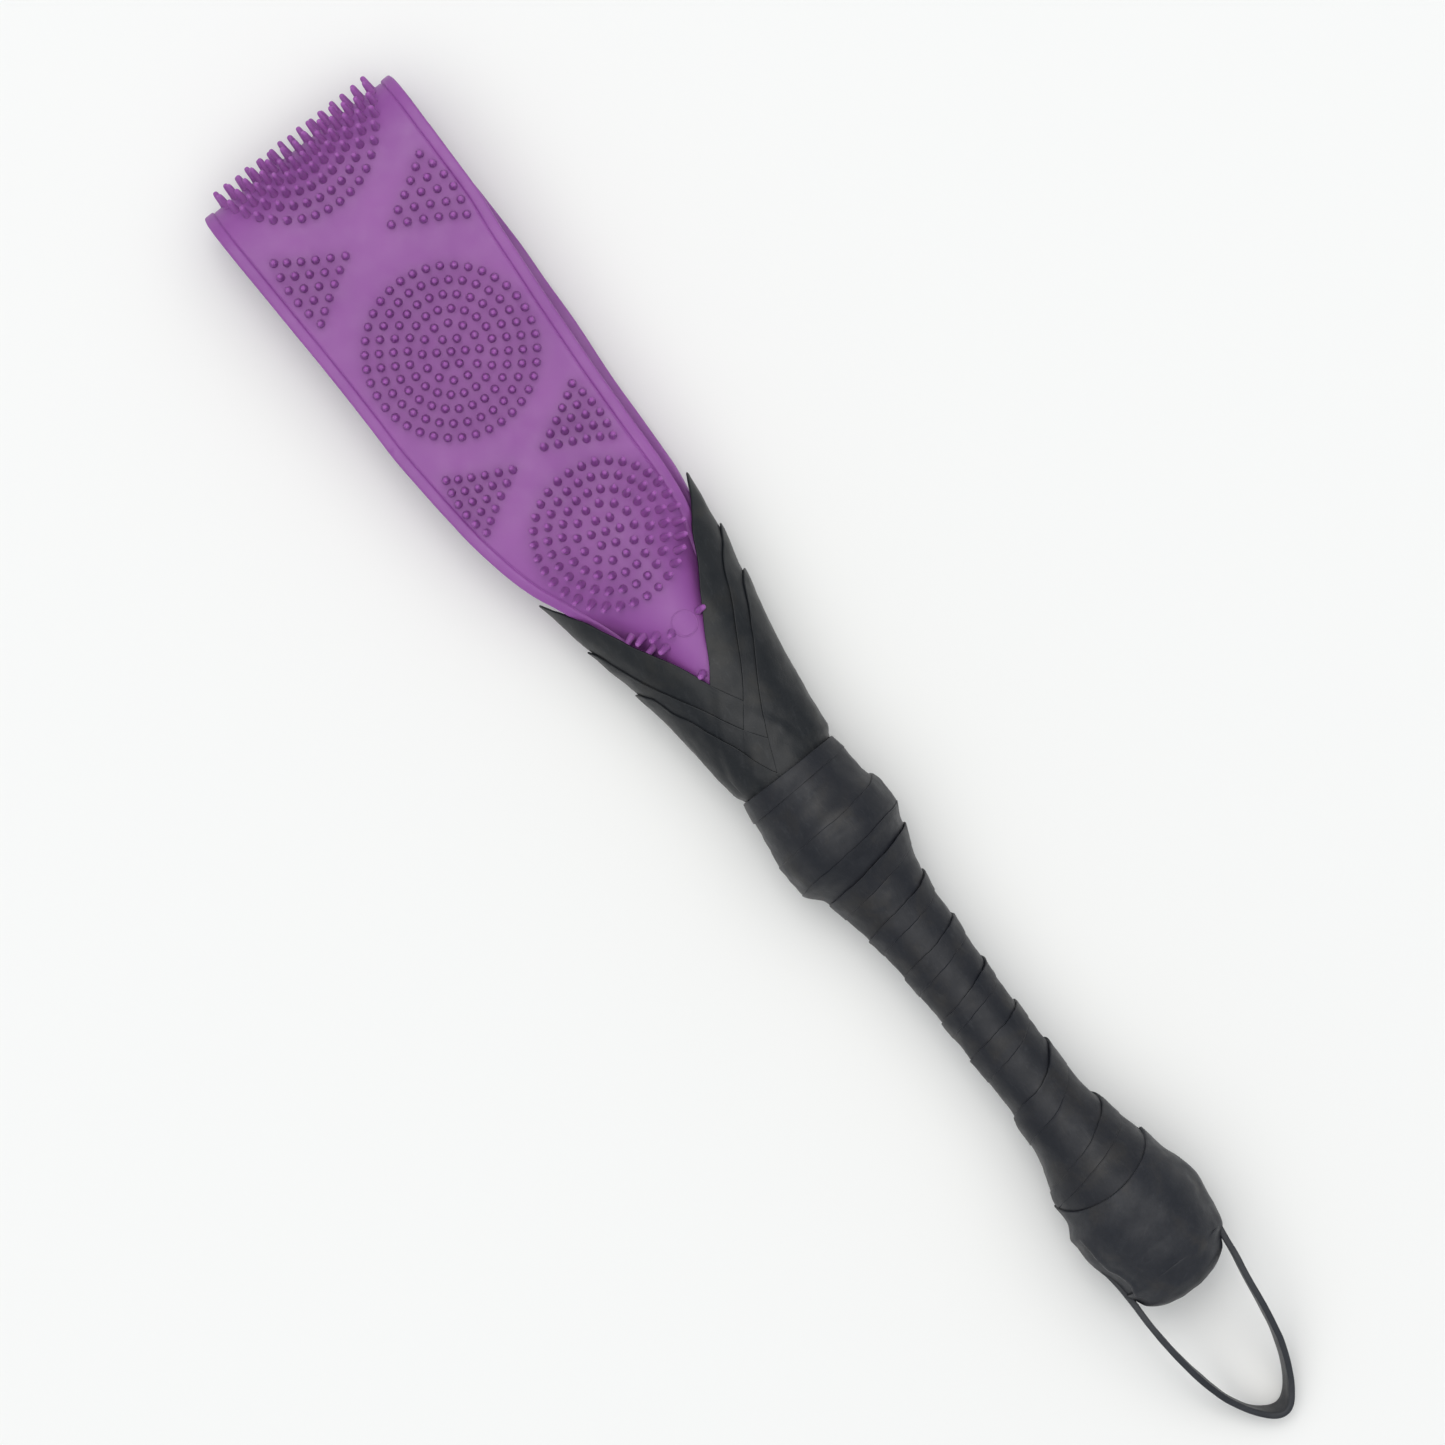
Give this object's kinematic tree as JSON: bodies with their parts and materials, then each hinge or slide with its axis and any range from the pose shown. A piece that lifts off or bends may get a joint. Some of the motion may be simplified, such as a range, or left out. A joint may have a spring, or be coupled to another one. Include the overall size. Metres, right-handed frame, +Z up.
{
  "type": "belt-loop hand paddle",
  "caption": "Hand paddle: a nubbed silicone belt folded into a long loop, its ends bound into a rubber-wrapped handle with a bulb, a pommel knob and a wrist strap.",
  "frame": {"origin": "middle of the bounding box in X and Y, on the surface it lies on", "axes": "+X along the handle from the wrist strap to the fold of the belt, +Y across the belt, +Z up from the surface it lies on"},
  "size_m": [0.4844, 0.071, 0.0428],
  "materials": {
    "silicone": "satin moulded silicone",
    "strip_rubber": "matt inner-tube rubber",
    "wrap_rubber": "matt inner-tube rubber, dusty",
    "strap_rubber": "matt",
    "wood": "plain",
    "cord": "twine",
    "padding": "layers of rubber strip"
  },
  "bodies": {
    "handle": {"belt_tail_front": "silicone", "belt_tail_back": "silicone", "flap_left_1": "strip_rubber", "flap_left_2": "strip_rubber", "flap_left_3": "strip_rubber", "flap_right_1": "strip_rubber", "flap_right_2": "strip_rubber", "flap_right_3": "strip_rubber", "collar_band": "wrap_rubber", "bulb_wrap": "wrap_rubber", "grip_wrap": "wrap_rubber", "neck_wrap": "wrap_rubber", "pommel_wrap": "wrap_rubber", "pommel_end_band": "wrap_rubber", "strap_tail_left": "strap_rubber", "strap_tail_right": "strap_rubber", "handle_core": "wood", "pommel_core": "wood", "tail_lashing": "cord", "bulb_padding": "padding", "grip_underwrap": "padding"},
    "belt": {"belt_loop": "silicone"},
    "strap": {"wrist_strap": "strap_rubber"}
  },
  "joints": [
    {"name": "belt_flex", "type": "hinge", "parent": "handle", "child": "belt", "pos_m": [0.09424, 0, 0.01993], "axis": [0, 1, 0], "range_deg": [-40, 40], "stiffness_Nm_per_rad": 0.2},
    {"name": "strap_swing", "type": "hinge", "parent": "handle", "child": "strap", "pos_m": [-0.19556, 0, 0.0212], "axis": [0, 1, 0], "range_deg": [-88, 88]}
  ]
}
